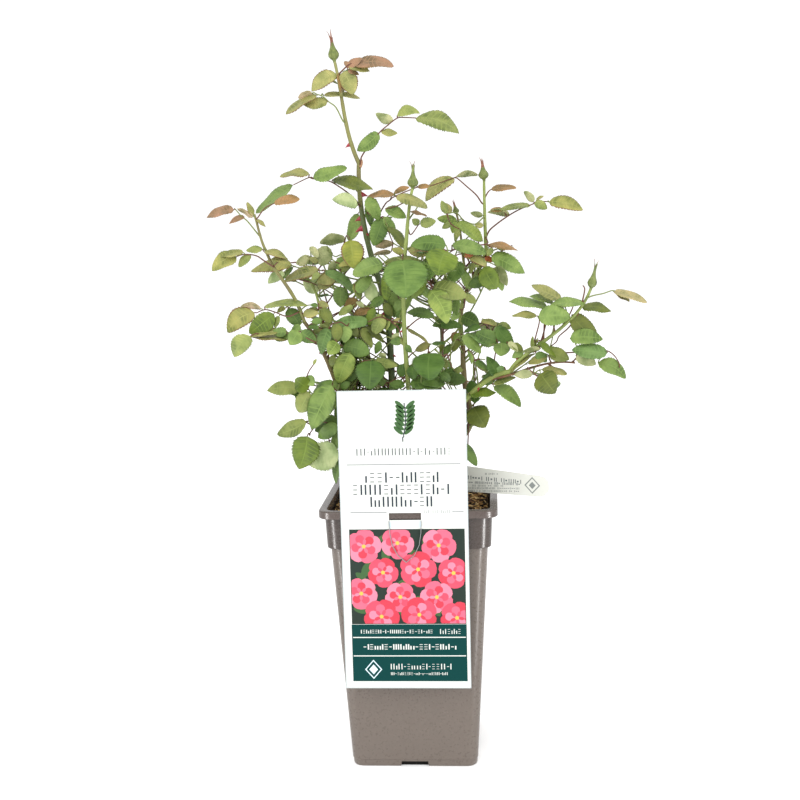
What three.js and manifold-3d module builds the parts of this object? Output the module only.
// A young rose bush growing in a deep square nursery pot.
//
// Millimetres, +Z up. The origin is the middle of the pot's underside, on the
// surface that the pot stands on; -Y is the side of the pot that carries the
// label. The plant is one rigid assembly: a pot, its compost, a short grafted
// stem, arching canes, and the masses of leaves that the canes carry.

import * as THREE from 'three';
import { mergeVertices } from 'three/addons/utils/BufferGeometryUtils.js';
import Module from 'manifold-3d';

const wasm = await Module();
wasm.setup();

// ---------------------------------------------------------------- sizes

const GAP = 0.4; // clearance between neighbouring solids

// pot: all widths are half of the outside width of a rounded square
const POT_HEIGHT = 247;
const RIM_HALF = 80;
const RIM_DEPTH = 7.6;
const COLLAR_TOP_HALF = 75;
const COLLAR_FOOT_HALF = 73.8;
const COLLAR_FOOT_Z = 211;
const BODY_TOP_HALF = 70.8;
const BODY_FOOT_HALF = 58.6;
const BODY_FOOT_Z = 9;
const CORNER_RADIUS = 10;
const WALL = 2;
const FLOOR_Z = 7;
const FOOT_RECESS = 3.4; // height of the hollow under the floor
const FOOT_PAD_HALF = 14; // the raised middle of the underside
const NOTCH_WIDTH = 27; // drainage notch in the middle of each side's foot
const NOTCH_HEIGHT = 5.2;

// compost
const SOIL_TOP = 231; // at the wall
const SOIL_MIDDLE = 232; // round the stem

// grafted stem
const STEM_X = 2;
const STEM_Y = 2;
const STEM_FLARE = 10.5;
const STEM_NECK = 7.6;
const UNION_Z = 262;
const UNION_RADIUS = 12;

// label card on the front of the pot, and the tag on the stem
const CARD_LEFT = -59;
const CARD_RIGHT = 54;
const CARD_FOOT = 84.7;
const CARD_TOP = 355.4;
const CARD_THICK = 0.8;
const CARD_SLOT = { left: -16, right: 12.4, foot: 239.6, top: 246 };
const TAG_THICK = 0.8;
const TAG_TURN = -18; // degrees that the tag swings to the front
const TAG_REACH = 131.5;

// ---------------------------------------------------------------- materials

const paint = (colour, roughness) =>
  new THREE.MeshStandardMaterial({ color: colour, roughness, metalness: 0 });
const POT_PLASTIC = paint(0x7d7269, 0.55);
const COMPOST = paint(0x6b5138, 0.95);
const CARD = paint(0xf1f1ee, 0.5);
const WOOD = paint(0x6d6243, 0.8);
const CANE = paint(0x6f7d45, 0.6);
const YOUNG_CANE = paint(0x94a35c, 0.55);
const LEAF = paint(0x6f8f4e, 0.7);
const YOUNG_LEAF = paint(0x8a8a4f, 0.7);
const DEEP_LEAF = paint(0x4e6f3c, 0.7);

const plant = new THREE.Group();

function add(name, geometry, material) {
  const mesh = new THREE.Mesh(geometry, material);
  mesh.name = name;
  plant.add(mesh);
  return mesh;
}

// ---------------------------------------------------------------- solids

function geometryOf(positions, triangles) {
  const g = new THREE.BufferGeometry();
  g.setAttribute('position', new THREE.Float32BufferAttribute(positions, 3));
  g.setIndex(triangles);
  g.computeVertexNormals();
  return g;
}

function manifoldOf(geometry) {
  let g = geometry.clone();
  g.deleteAttribute('normal');
  g.deleteAttribute('uv');
  g = mergeVertices(g, 1e-4);
  return new wasm.Manifold(
    new wasm.Mesh({
      numProp: 3,
      vertProperties: new Float32Array(g.attributes.position.array),
      triVerts: new Uint32Array(g.index.array),
    }),
  );
}

function geometryFrom(solid) {
  const m = solid.getMesh();
  return geometryOf(Array.from(m.vertProperties), Array.from(m.triVerts));
}

// the biggest piece of a solid that a cut may have parted
function mainPiece(solid) {
  return solid.decompose().sort((a, b) => b.volume() - a.volume())[0];
}

// rings of equal length joined into one closed skin, with a fan at each end
function skin(rings) {
  const n = rings[0].length;
  const pos = [];
  const tri = [];
  for (const ring of rings) for (const p of ring) pos.push(p.x, p.y, p.z);
  for (let k = 0; k + 1 < rings.length; k++) {
    for (let i = 0; i < n; i++) {
      const a = k * n + i;
      const b = k * n + ((i + 1) % n);
      tri.push(a, b, b + n, a, b + n, a + n);
    }
  }
  const cap = (ring, base, up) => {
    const c = ring.reduce((s, p) => s.add(p), new THREE.Vector3()).divideScalar(n);
    pos.push(c.x, c.y, c.z);
    const m = pos.length / 3 - 1;
    for (let i = 0; i < n; i++) {
      const a = base + i;
      const b = base + ((i + 1) % n);
      tri.push(...(up ? [m, a, b] : [m, b, a]));
    }
  };
  cap(rings[0], 0, false);
  cap(rings[rings.length - 1], (rings.length - 1) * n, true);
  return geometryOf(pos, tri);
}

// a rounded square, counter-clockwise from above
function roundedSquare(half, radius, z, arc = 4) {
  const r = Math.min(radius, half * 0.9);
  const ring = [];
  for (let q = 0; q < 4; q++) {
    const cx = (q === 0 || q === 3 ? 1 : -1) * (half - r);
    const cy = (q < 2 ? 1 : -1) * (half - r);
    for (let k = 0; k <= arc; k++) {
      const a = ((q + k / arc) * Math.PI) / 2;
      ring.push(new THREE.Vector3(cx + r * Math.cos(a), cy + r * Math.sin(a), z));
    }
  }
  return ring;
}

function boxSolid(x0, x1, y0, y1, z0, z1) {
  const g = new THREE.BoxGeometry(x1 - x0, y1 - y0, z1 - z0);
  g.translate((x0 + x1) / 2, (y0 + y1) / 2, (z0 + z1) / 2);
  return manifoldOf(g);
}

// ---------------------------------------------------------------- pot

{
  const lip = POT_HEIGHT - RIM_DEPTH;
  const R = CORNER_RADIUS;
  const profile = [
    // underside, from the middle outwards: [half, z, corner radius]
    [FOOT_PAD_HALF, 0, 6],
    [FOOT_PAD_HALF + 0.8, FOOT_RECESS, 6],
    [BODY_FOOT_HALF - 8, FOOT_RECESS, 7],
    [BODY_FOOT_HALF - 7.2, 0, 7],
    // outside
    [BODY_FOOT_HALF - 3.6, 0, 8],
    [BODY_FOOT_HALF - 1.2, 2.2, R],
    [BODY_FOOT_HALF, BODY_FOOT_Z, R],
    [BODY_TOP_HALF, COLLAR_FOOT_Z, R],
    [COLLAR_FOOT_HALF, COLLAR_FOOT_Z + 1, R + 1],
    [COLLAR_TOP_HALF, lip, R + 1],
    [RIM_HALF, lip + 0.6, R + 2],
    [RIM_HALF, POT_HEIGHT - 1, R + 2],
    [RIM_HALF - 1, POT_HEIGHT, R + 2],
    // inside
    [COLLAR_TOP_HALF - WALL, POT_HEIGHT, R - 1],
    [COLLAR_FOOT_HALF - WALL, COLLAR_FOOT_Z + 2.5, R - 1],
    [BODY_TOP_HALF - WALL, COLLAR_FOOT_Z - 1.5, R - 1.5],
    [BODY_FOOT_HALF - WALL, FLOOR_Z, R - 2],
  ];
  const shell = manifoldOf(skin(profile.map(([h, z, r]) => roundedSquare(h, r, z, 3))));
  const w = NOTCH_WIDTH / 2;
  const near = BODY_FOOT_HALF - 13;
  const cut = boxSolid(-w, w, -90, -near, -5, NOTCH_HEIGHT)
    .add(boxSolid(-w, w, near, 90, -5, NOTCH_HEIGHT))
    .add(boxSolid(-90, -near, -w, w, -5, NOTCH_HEIGHT))
    .add(boxSolid(near, 90, -w, w, -5, NOTCH_HEIGHT));
  add('nursery_pot', geometryFrom(shell.subtract(cut)), POT_PLASTIC);
}

// ---------------------------------------------------------------- compost

{
  const fit = 0.6;
  const rings = [
    roundedSquare(BODY_FOOT_HALF - WALL - fit, CORNER_RADIUS - 2, FLOOR_Z + GAP, 3),
    roundedSquare(BODY_TOP_HALF - WALL - fit, CORNER_RADIUS - 2, COLLAR_FOOT_Z - 1, 3),
    roundedSquare(COLLAR_FOOT_HALF - WALL - fit, CORNER_RADIUS - 2, COLLAR_FOOT_Z + 4, 3),
  ];
  // the crumbly surface: low mounds between the wall and the stem
  const surface = [
    [COLLAR_FOOT_HALF - WALL - fit, SOIL_TOP - 1.5, 0],
    [62, SOIL_TOP, 1.6],
    [45, SOIL_TOP + 0.6, 1.8],
    [30, SOIL_TOP + 0.8, 1.2],
    [17, SOIL_MIDDLE, 0],
  ];
  surface.forEach(([half, z, wave], k) => {
    const ring = roundedSquare(half, CORNER_RADIUS + k, z, 3);
    ring.forEach((p, i) => {
      p.z += wave * Math.sin(i * 2.3 + k * 1.7) * Math.cos(i * 0.9 - k);
    });
    rings.push(ring);
  });
  add('potting_compost', skin(rings), COMPOST);
}

// ---------------------------------------------------------------- label card

{
  const card = new THREE.Shape();
  const r = 2;
  card.moveTo(CARD_LEFT + r, CARD_FOOT);
  card.lineTo(CARD_RIGHT - r, CARD_FOOT);
  card.lineTo(CARD_RIGHT, CARD_FOOT + r);
  card.lineTo(CARD_RIGHT, CARD_TOP - r);
  card.lineTo(CARD_RIGHT - r, CARD_TOP);
  card.lineTo(CARD_LEFT + r, CARD_TOP);
  card.lineTo(CARD_LEFT, CARD_TOP - r);
  card.lineTo(CARD_LEFT, CARD_FOOT + r);
  card.closePath();
  const slot = new THREE.Path();
  slot.moveTo(CARD_SLOT.left, CARD_SLOT.foot);
  slot.lineTo(CARD_SLOT.left, CARD_SLOT.top);
  slot.lineTo(CARD_SLOT.right, CARD_SLOT.top);
  slot.lineTo(CARD_SLOT.right, CARD_SLOT.foot);
  slot.closePath();
  card.holes.push(slot);
  const g = new THREE.ExtrudeGeometry(card, { depth: CARD_THICK, bevelEnabled: false });
  g.rotateX(Math.PI / 2); // the shape's y becomes height, its depth runs to -Y
  g.translate(0, -(RIM_HALF + GAP), 0);
  const mesh = geometryFrom(manifoldOf(g));
  add('plant_label', mesh, CARD);
}

// ---------------------------------------------------------------- grafted stem

{
  // [radius, height]: a flat cut at ground level, a flare, a neck, the swollen union
  const outline = [
    [0, SOIL_MIDDLE + GAP],
    [STEM_FLARE, SOIL_MIDDLE + GAP],
    [STEM_FLARE * 0.84, SOIL_MIDDLE + 4],
    [STEM_NECK + 0.3, SOIL_MIDDLE + 9],
    [STEM_NECK, SOIL_MIDDLE + 15],
  ];
  for (let k = 0; k <= 6; k++) {
    const a = -0.62 + ((Math.PI / 2 + 0.62) * k) / 6;
    outline.push([UNION_RADIUS * Math.cos(a), UNION_Z + UNION_RADIUS * Math.sin(a)]);
  }
  outline[outline.length - 1][0] = 0;
  const g = new THREE.LatheGeometry(
    outline.map(([r, z]) => new THREE.Vector2(r, z)),
    14,
  );
  g.rotateX(Math.PI / 2);
  g.translate(STEM_X, STEM_Y, 0);
  add('grafted_stem', geometryFrom(manifoldOf(g)), WOOD);
}

// ---------------------------------------------------------------- tag on the stem

{
  // a narrow band looped round the neck, widening into a flat strip
  const inner = STEM_NECK + 1.6;
  const ringOf = (r0, r1, z0, z1) => {
    const g = new THREE.LatheGeometry(
      [
        new THREE.Vector2(r0, z0),
        new THREE.Vector2(r1, z0),
        new THREE.Vector2(r1, z1),
        new THREE.Vector2(r0, z1),
        new THREE.Vector2(r0, z0),
      ],
      18,
    );
    g.rotateX(Math.PI / 2);
    return manifoldOf(g);
  };
  const band = ringOf(inner, inner + TAG_THICK, 240.5, 248.5);
  const strip = new THREE.Shape();
  strip.moveTo(inner + 0.2, 240.5);
  strip.lineTo(46, 250.6);
  strip.lineTo(TAG_REACH - 9, 249.4);
  for (let k = 0; k <= 6; k++) {
    const a = -Math.PI / 2 + (Math.PI * k) / 6;
    strip.lineTo(TAG_REACH - 9 + 9 * Math.cos(a), 259 + 9.6 * Math.sin(a));
  }
  strip.lineTo(46, 275);
  strip.lineTo(34, 262);
  strip.lineTo(inner + 0.2, 248.5);
  strip.closePath();
  const g = new THREE.ExtrudeGeometry(strip, { depth: TAG_THICK, bevelEnabled: false });
  g.rotateX(Math.PI / 2);
  g.translate(0, TAG_THICK / 2, 0);
  const tag = geometryFrom(band.add(manifoldOf(g)));
  tag.rotateZ(THREE.MathUtils.degToRad(TAG_TURN));
  tag.translate(STEM_X, STEM_Y, 0);
  add('stem_tag', tag, CARD);
}

// ---------------------------------------------------------------- canes

// A cane follows cubic curves, each given by its two handles and its end. It
// tapers from `foot` to `tip` radius, and may end in a flower bud.
const fromUnion = (azimuth, elevation) => {
  const a = THREE.MathUtils.degToRad(azimuth);
  const e = THREE.MathUtils.degToRad(elevation);
  const r = UNION_RADIUS + 0.8;
  return [
    STEM_X + r * Math.cos(e) * Math.cos(a),
    STEM_Y + r * Math.cos(e) * Math.sin(a),
    UNION_Z + r * Math.sin(e),
  ];
};

const CANES = {
  main_cane: {
    from: fromUnion(168, 64),
    curves: [
      [[-28, 8, 325], [-9, 13, 386], [-27, 15, 445]],
      [[-38, 16, 480], [-45, 9, 516], [-42, 5, 554]],
      [[-55, 1, 584], [-54, -1, 614], [-61, 0, 646]],
    ],
    foot: 3.7, tip: 1.3, bud: { length: 26, radius: 4.6, lean: [-3, 0, 25] }, look: CANE,
  },
  centre_cane: {
    from: fromUnion(278, 54),
    curves: [
      [[6, -29, 306], [-7, -31, 402], [1, -40, 471]],
      [[4, -39, 490], [4, -36, 510], [9, -32, 530]],
    ],
    foot: 2.6, tip: 1.2, bud: { length: 22.5, radius: 4.6, lean: [1, 1, 25] }, look: YOUNG_CANE,
  },
  right_cane_lower: {
    from: fromUnion(18, 34),
    curves: [[[83, 28, 320], [46, 42, 294], [49, 52, 380]]],
    foot: 3.3, tip: 2.5, look: CANE,
  },
  right_cane_upper: {
    from: [49, 52, 380.5],
    curves: [
      [[40, 60, 431], [64, 47, 440], [73, 38, 471]],
      [[72, 34, 493], [72, 29, 514], [72, 28, 537]],
    ],
    foot: 2.5, tip: 1.2, bud: { length: 21, radius: 4.4, lean: [-2, 0, 21] }, look: YOUNG_CANE,
  },
  right_cane_fork: {
    from: [55.3, 51.2, 435],
    curves: [[[48, 61, 469], [51, 63, 482], [45, 62, 506]]],
    foot: 1.5, tip: 1.0, bud: { length: 14, radius: 2.8, lean: [-3, 0, 13] }, look: YOUNG_CANE,
  },
  right_arch_lower: {
    from: fromUnion(325, 36),
    curves: [[[22, -12, 280], [44, -18, 354], [93, -38, 365]]],
    foot: 2.9, tip: 2.1, look: CANE,
  },
  right_arch_upper: {
    from: [93.5, -38.2, 365.1],
    curves: [[[103, -49, 386], [152, -50, 402], [164, -54, 439]]],
    foot: 2.1, tip: 1.2, bud: { length: 24, radius: 3.8, lean: [5, 0, 23] }, look: YOUNG_CANE,
  },
  right_low_cane: {
    from: [76, -36, 357],
    curves: [[[100, -42, 361], [120, -44, 377], [150, -50, 373]]],
    foot: 1.5, tip: 0.9, look: YOUNG_CANE,
  },
  left_arch_lower: {
    from: fromUnion(205, 38),
    curves: [[[-74, -33, 327], [-59, -15, 363], [-91, -40, 413]]],
    foot: 2.5, tip: 1.8, look: CANE,
  },
  left_arch_upper: {
    from: [-91.2, -40.1, 413.5],
    curves: [
      [[-100, -45, 448], [-115, -44, 453], [-123, -40, 477]],
      [[-129, -37, 487], [-130, -35, 499], [-134, -32, 510]],
    ],
    foot: 1.8, tip: 1.0, look: YOUNG_CANE,
  },
  left_inner_cane: {
    from: [-75, -23, 384],
    curves: [[[-84, -1, 404], [-77, 6, 433], [-97, 10, 454]]],
    foot: 1.7, tip: 1.0, look: YOUNG_CANE,
  },
  back_left_cane: {
    from: fromUnion(118, 44),
    curves: [[[-17, 38, 301], [-63, 102, 393], [-77, 112, 465]]],
    foot: 3.0, tip: 1.2, look: CANE,
  },
  back_right_cane: {
    from: fromUnion(70, 44),
    curves: [[[31, 83, 345], [35, 101, 394], [14, 116, 459]]],
    foot: 3.0, tip: 1.2, look: CANE,
  },
  low_left_shoot: {
    from: fromUnion(243, 20),
    curves: [[[-12, -25, 273], [-69, -26, 297], [-77, -48, 339]]],
    foot: 2.4, tip: 1.1, look: YOUNG_CANE,
  },
};

const V = (p) => new THREE.Vector3(...p);

function caneGeometry(cane, grow, sides = 7, steps = 6) {
  const path = new THREE.CurvePath();
  let from = V(cane.from);
  for (const [a, b, c] of cane.curves) {
    path.add(new THREE.CubicBezierCurve3(from, V(a), V(b), V(c)));
    from = V(c);
  }
  const n = cane.curves.length > 1 ? (steps - 2) * cane.curves.length : steps;
  const stations = [];
  for (let k = 0; k <= n; k++) {
    const t = k / n;
    stations.push({
      at: path.getPointAt(t),
      r: THREE.MathUtils.lerp(cane.foot, cane.tip, Math.pow(t, 0.9)) + grow,
    });
  }
  if (cane.bud) {
    // a swollen hip, a pinch, and the pointed roll of petals and sepals
    const lean = V(cane.bud.lean).setLength(cane.bud.length);
    for (const [t, r] of [[0.12, 0.8], [0.3, 1], [0.52, 0.62], [0.78, 0.4], [1, 0.14]]) {
      stations.push({ at: from.clone().addScaledVector(lean, t), r: cane.bud.radius * r + grow });
    }
  }
  // sections square to the path, turned as little as possible from one to the next
  const rings = [];
  let side = null;
  for (let k = 0; k < stations.length; k++) {
    const before = stations[Math.max(k - 1, 0)].at;
    const after = stations[Math.min(k + 1, stations.length - 1)].at;
    const along = after.clone().sub(before).normalize();
    if (!side) side = new THREE.Vector3(1, 0.3, 0).cross(along).normalize();
    side.addScaledVector(along, -side.dot(along)).normalize();
    const other = along.clone().cross(side);
    const ring = [];
    for (let i = 0; i < sides; i++) {
      const a = (2 * Math.PI * i) / sides;
      ring.push(
        stations[k].at
          .clone()
          .addScaledVector(side, stations[k].r * Math.cos(a))
          .addScaledVector(other, stations[k].r * Math.sin(a)),
      );
    }
    rings.push(ring);
  }
  return skin(rings);
}

const caneSolid = {};
const caneRoom = {}; // the cane with clearance round it
for (const [name, cane] of Object.entries(CANES)) {
  caneSolid[name] = manifoldOf(caneGeometry(cane, 0));
  caneRoom[name] = manifoldOf(caneGeometry(cane, GAP));
}
// a side shoot, or the upper half of a bent cane, is cut to the skin of the
// cane that bears it
for (const [shoot, bearer] of [
  ['right_arch_upper', 'right_arch_lower'],
  ['left_arch_upper', 'left_arch_lower'],
  ['right_cane_upper', 'right_cane_lower'],
  ['right_cane_fork', 'right_cane_upper'],
  ['right_low_cane', 'right_arch_lower'],
  ['left_inner_cane', 'left_arch_lower'],
]) {
  caneSolid[shoot] = mainPiece(caneSolid[shoot].subtract(caneRoom[bearer]));
}

// ---------------------------------------------------------------- leaf masses

// Each mass is a lumpy pad: its middle, its half width, half depth and half
// height, how far it tilts up to the right and turns to the front, in degrees.
const MASSES = {
  top_spray: { at: [-56, 0, 625], half: [54, 24, 17], tilt: 22, look: YOUNG_LEAF },
  upper_right_spray: { at: [2, -10, 584], half: [54, 21, 18], tilt: -3, look: LEAF },
  upper_left_spray: { at: [-82, -14, 532], half: [58, 26, 17], tilt: 12, look: LEAF },
  left_tip_spray: { at: [-150, -34, 511], half: [33, 20, 13], tilt: -4, look: YOUNG_LEAF },
  left_upper_spray: { at: [-137, -50, 470], half: [36, 24, 14], tilt: 8, look: LEAF },
  left_inner_mass: { at: [-86, 14, 459], half: [34, 30, 25], tilt: 20, look: LEAF },
  left_front_mass: { at: [-114, -64, 410], half: [42, 28, 26], tilt: 0, look: LEAF },
  low_left_mass: { at: [-95, -44, 341], half: [35, 32, 27], tilt: -10, look: DEEP_LEAF },
  low_left_skirt: { at: [-84, -44, 293], half: [24, 22, 25], tilt: 0, look: DEEP_LEAF },
  upper_middle_mass: { at: [-19, -8, 508], half: [40, 30, 30], tilt: -10, look: LEAF },
  front_heart_mass: { at: [-12, -64, 452], half: [37, 28, 29], tilt: -10, look: LEAF },
  right_heart_mass: { at: [30, -42, 462], half: [31, 26, 34], tilt: -10, look: LEAF },
  low_middle_left_mass: { at: [-50, -2, 381], half: [39, 42, 36], tilt: 0, look: DEEP_LEAF },
  low_middle_right_mass: { at: [19, -24, 386], half: [27, 30, 36], tilt: 0, look: DEEP_LEAF },
  right_upper_spray: { at: [57, 18, 529], half: [46, 24, 17], tilt: 0, look: LEAF },
  right_upper_mass: { at: [65, 50, 492], half: [42, 26, 21], tilt: 8, look: LEAF },
  right_tip_spray: { at: [118, 22, 512], half: [50, 18, 14], tilt: 4, look: LEAF },
  right_middle_mass: { at: [80, 30, 452], half: [32, 28, 24], tilt: -30, look: LEAF },
  right_arch_upper_mass: { at: [130, -48, 423], half: [41, 28, 22], tilt: 0, look: LEAF },
  right_far_spray: { at: [184, -58, 428], half: [31, 16, 12], tilt: 6, look: YOUNG_LEAF },
  right_arch_low_mass: { at: [157, -62, 385], half: [40, 26, 20], tilt: -12, look: LEAF },
  right_low_spray: { at: [126, -18, 355], half: [27, 26, 19], tilt: -10, look: LEAF },
  right_inner_mass: { at: [73, 56, 381], half: [32, 28, 29], tilt: 0, look: DEEP_LEAF },
  low_right_mass: { at: [78, -2, 331], half: [30, 30, 25], tilt: 0, look: DEEP_LEAF },
  low_right_skirt: { at: [64, 40, 300], half: [18, 22, 29], tilt: 0, look: DEEP_LEAF },
  back_left_upper_mass: { at: [-77, 116, 461], half: [47, 27, 39], tilt: 0, look: LEAF },
  back_left_low_mass: { at: [-64, 100, 388], half: [48, 28, 32], tilt: 0, look: DEEP_LEAF },
  back_middle_mass: { at: [-18, 118, 424], half: [42, 28, 40], tilt: 0, look: LEAF },
  back_right_upper_mass: { at: [26, 116, 462], half: [44, 27, 34], tilt: 0, look: LEAF },
  back_right_low_mass: { at: [40, 96, 380], half: [44, 28, 34], tilt: 0, look: DEEP_LEAF },
};

// small repeatable pseudo-random numbers
function dice(seed) {
  let s = (seed * 2654435761) >>> 0;
  return () => {
    s = (Math.imul(s ^ (s >>> 15), 2246822519) + 0x9e3779b9) >>> 0;
    return ((s ^ (s >>> 13)) >>> 0) / 4294967296;
  };
}

function massGeometry(mass, seed, grow) {
  const roll = dice(seed + 1);
  const waves = [];
  for (let k = 0; k < 5; k++) {
    waves.push({
      way: new THREE.Vector3(roll() - 0.5, roll() - 0.5, roll() - 0.5).setLength(2.4 + 2.8 * roll()),
      phase: roll() * 2 * Math.PI,
      size: 0.05 + 0.05 * roll(),
    });
  }
  // a thin spray needs fewer faces than a full mass
  let g = new THREE.IcosahedronGeometry(1, mass.half[2] < 20 ? 1 : 2);
  g.deleteAttribute('normal');
  g.deleteAttribute('uv');
  g = mergeVertices(g, 1e-4);
  const p = g.attributes.position;
  const v = new THREE.Vector3();
  for (let i = 0; i < p.count; i++) {
    v.fromBufferAttribute(p, i);
    let k = 1;
    for (const w of waves) k += w.size * Math.cos(w.way.dot(v) + w.phase);
    v.multiplyScalar(k).multiply(V(mass.half));
    p.setXYZ(i, v.x, v.y, v.z);
  }
  // scaled back so that the mass keeps its named half sizes
  g.computeBoundingBox();
  const size = g.boundingBox.getSize(new THREE.Vector3());
  const mid = g.boundingBox.getCenter(new THREE.Vector3());
  g.translate(-mid.x, -mid.y, -mid.z);
  g.scale((2 * mass.half[0]) / size.x, (2 * mass.half[1]) / size.y, (2 * mass.half[2]) / size.z);
  g.computeVertexNormals();
  if (grow) {
    const n = g.attributes.normal;
    for (let i = 0; i < p.count; i++) {
      p.setXYZ(i, p.getX(i) + n.getX(i) * grow, p.getY(i) + n.getY(i) * grow, p.getZ(i) + n.getZ(i) * grow);
    }
  }
  g.rotateY(THREE.MathUtils.degToRad(-mass.tilt));
  g.translate(...mass.at);
  return g;
}

const massSolid = {};
const massRoom = {};
Object.entries(MASSES).forEach(([name, mass], i) => {
  massSolid[name] = manifoldOf(massGeometry(mass, i, 0));
  massRoom[name] = manifoldOf(massGeometry(mass, i, GAP + 0.1));
});

// a cane that ends among leaves stops where it enters them
for (const [cane, mass] of [
  ['left_arch_upper', 'left_tip_spray'],
  ['left_inner_cane', 'left_inner_mass'],
  ['right_low_cane', 'right_arch_low_mass'],
  ['back_left_cane', 'back_left_upper_mass'],
  ['back_right_cane', 'back_right_upper_mass'],
  ['low_left_shoot', 'low_left_mass'],
]) {
  caneSolid[cane] = mainPiece(caneSolid[cane].subtract(massRoom[mass]));
}
const endsIn = {
  left_tip_spray: 'left_arch_upper',
  left_inner_mass: 'left_inner_cane',
  right_arch_low_mass: 'right_low_cane',
  back_left_upper_mass: 'back_left_cane',
  back_right_upper_mass: 'back_right_cane',
  low_left_mass: 'low_left_shoot',
};

const boxesMeet = (a, b) => {
  const p = a.boundingBox();
  const q = b.boundingBox();
  for (let k = 0; k < 3; k++) if (p.min[k] > q.max[k] || q.min[k] > p.max[k]) return false;
  return true;
};

// every other mass is cut round the canes that run through it, and each mass
// gives way to the masses before it
const done = [];
for (const [name, mass] of Object.entries(MASSES)) {
  let solid = massSolid[name];
  for (const cane of Object.keys(CANES)) {
    if (endsIn[name] !== cane && boxesMeet(solid, caneRoom[cane])) {
      solid = solid.subtract(caneRoom[cane]);
    }
  }
  for (const other of done) {
    if (boxesMeet(solid, massRoom[other])) solid = solid.subtract(massRoom[other]);
  }
  massSolid[name] = mainPiece(solid);
  done.push(name);
}

for (const [name, cane] of Object.entries(CANES)) add(name, geometryFrom(caneSolid[name]), cane.look);
for (const [name, mass] of Object.entries(MASSES)) add(name, geometryFrom(massSolid[name]), mass.look);

export default plant;
